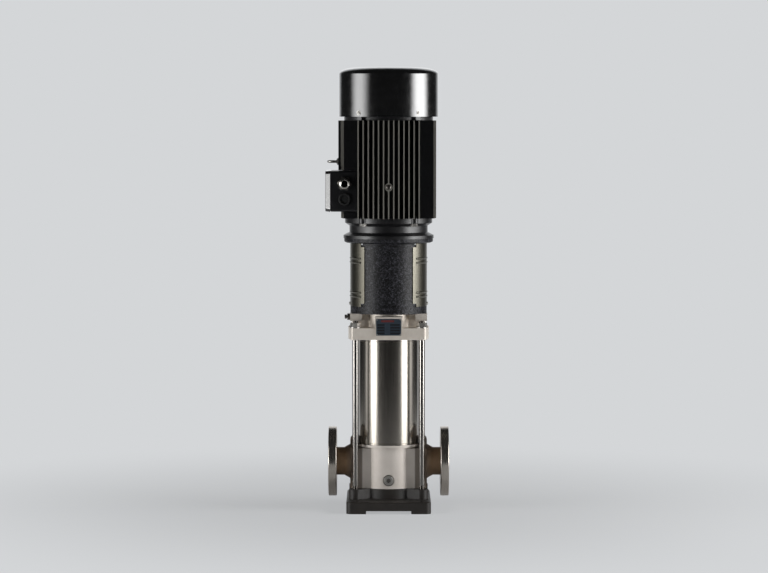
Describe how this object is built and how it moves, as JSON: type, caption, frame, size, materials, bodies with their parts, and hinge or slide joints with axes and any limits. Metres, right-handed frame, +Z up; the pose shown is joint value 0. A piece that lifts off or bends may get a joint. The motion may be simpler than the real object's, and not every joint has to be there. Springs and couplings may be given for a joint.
{
  "type": "vertical multistage pump",
  "caption": "Upright in-line multistage water pump: flanged stainless casing and sleeve, black motor stool with coupling guards, finned motor with terminal box and fan cowl.",
  "frame": {"origin": "on the floor under the shaft axis, at the centre of the base plate's four bolt holes", "axes": "+Z up along the shaft, +X towards the discharge port, -X towards the suction port and terminal box, -Y towards the nameplate"},
  "size_m": [0.327, 0.298, 1.173],
  "materials": {
    "base_paint": "black primer on rough cast iron, low sheen",
    "casing_cast": "bead-blasted cast stainless steel, warm satin grey",
    "flange_machined": "turned stainless steel with fine tool marks, warm satin",
    "plug_steel": "turned stainless steel",
    "sleeve_polished": "polished stainless tube with faint lengthwise grain",
    "rod_steel": "drawn stainless bar, smooth",
    "nut_steel": "stainless hexagon nut",
    "head_cast": "bead-blasted cast stainless steel, pale and fine grained",
    "nameplate_metal": "thin blank printed metal plate",
    "vent_steel": "dark stainless hexagon plug",
    "shaft_steel": "ground steel",
    "bush_carbide": "sintered carbide, dark grey and lapped",
    "seal_carbon": "carbon seal ring",
    "cover_steel": "turned stainless steel",
    "stool_crinkle_paint": "black crinkle paint on cast iron",
    "bolt_steel": "zinc-plated steel",
    "shield_bolt_steel": "bright zinc-plated steel",
    "guard_steel": "stainless sheet, satin rolled",
    "coupling_iron": "machined grey iron",
    "motor_gloss_paint": "black gloss enamel on cast metal",
    "frame_gloss_paint": "black gloss enamel on die-cast aluminium fins",
    "earth_brass": "plated screw and washer",
    "eye_steel": "zinc-plated forged steel",
    "lamination_steel": "stacked electrical sheet",
    "winding_copper": "varnished copper coils",
    "bearing_steel": "ground bearing steel",
    "fan_plastic": "moulded plastic",
    "cowl_gloss_paint": "black gloss enamel on pressed sheet, very smooth",
    "box_gloss_paint": "black gloss enamel on die-cast aluminium",
    "gasket_rubber": "black rubber sheet",
    "board_plastic": "moulded phenolic block",
    "gland_metal": "nickel-plated brass",
    "plug_plastic": "black plastic screw plug",
    "chamber_steel": "pressed and welded stainless sheet",
    "impeller_steel": "pressed and welded stainless sheet"
  },
  "bodies": {
    "root": {"base_plate": "base_paint", "bearing_outer_rings": "bearing_steel", "blanking_plug": "plug_plastic", "cable_gland": "gland_metal", "coupling_guard_left": "guard_steel", "coupling_guard_right": "guard_steel", "discharge_flange": "flange_machined", "drain_plug": "plug_steel", "drive_end_shield": "motor_gloss_paint", "earth_screw": "earth_brass", "eyebolt": "eye_steel", "fan_cowl": "cowl_gloss_paint", "lid_gasket": "gasket_rubber", "motor_flange_bolts": "bolt_steel", "motor_frame": "frame_gloss_paint", "motor_stool": "stool_crinkle_paint", "nameplate": "nameplate_metal", "outer_sleeve": "sleeve_polished", "pump_casing": "casing_cast", "pump_head": "head_cast", "rear_end_shield": "motor_gloss_paint", "seal_cover": "cover_steel", "seal_seat": "bush_carbide", "shaft_bushes": "bush_carbide", "shield_bolts": "shield_bolt_steel", "stage_chamber_1": "chamber_steel", "stage_chamber_2": "chamber_steel", "stage_chamber_3": "chamber_steel", "stage_chamber_4": "chamber_steel", "stator_core": "lamination_steel", "stator_windings": "winding_copper", "stay_bolt_nuts": "nut_steel", "stay_bolts": "rod_steel", "stool_bolts": "bolt_steel", "suction_flange": "flange_machined", "terminal_board": "board_plastic", "terminal_box": "box_gloss_paint", "terminal_box_lid": "box_gloss_paint", "vent_plug": "vent_steel"},
    "rotor": {"pump_shaft": "shaft_steel", "seal_ring": "seal_carbon", "coupling_half_front": "coupling_iron", "coupling_half_rear": "coupling_iron", "coupling_screws": "bolt_steel", "motor_shaft": "shaft_steel", "rotor_core": "lamination_steel", "bearing_inner_rings": "bearing_steel", "fan": "fan_plastic", "impeller_1": "impeller_steel", "impeller_2": "impeller_steel", "impeller_3": "impeller_steel", "impeller_4": "impeller_steel"},
    "vent_spindle": {"vent_spindle": "vent_steel"}
  },
  "joints": [
    {"name": "rotor_spin", "type": "hinge", "parent": "root", "child": "rotor", "pos_m": [0, 0, 0.6], "axis": [0, 0, 1], "continuous": true},
    {"name": "vent_turn", "type": "hinge", "parent": "root", "child": "vent_spindle", "pos_m": [-0.11, 0, 0.511], "axis": [-1, 0, 0], "range_deg": [0, 360]}
  ]
}
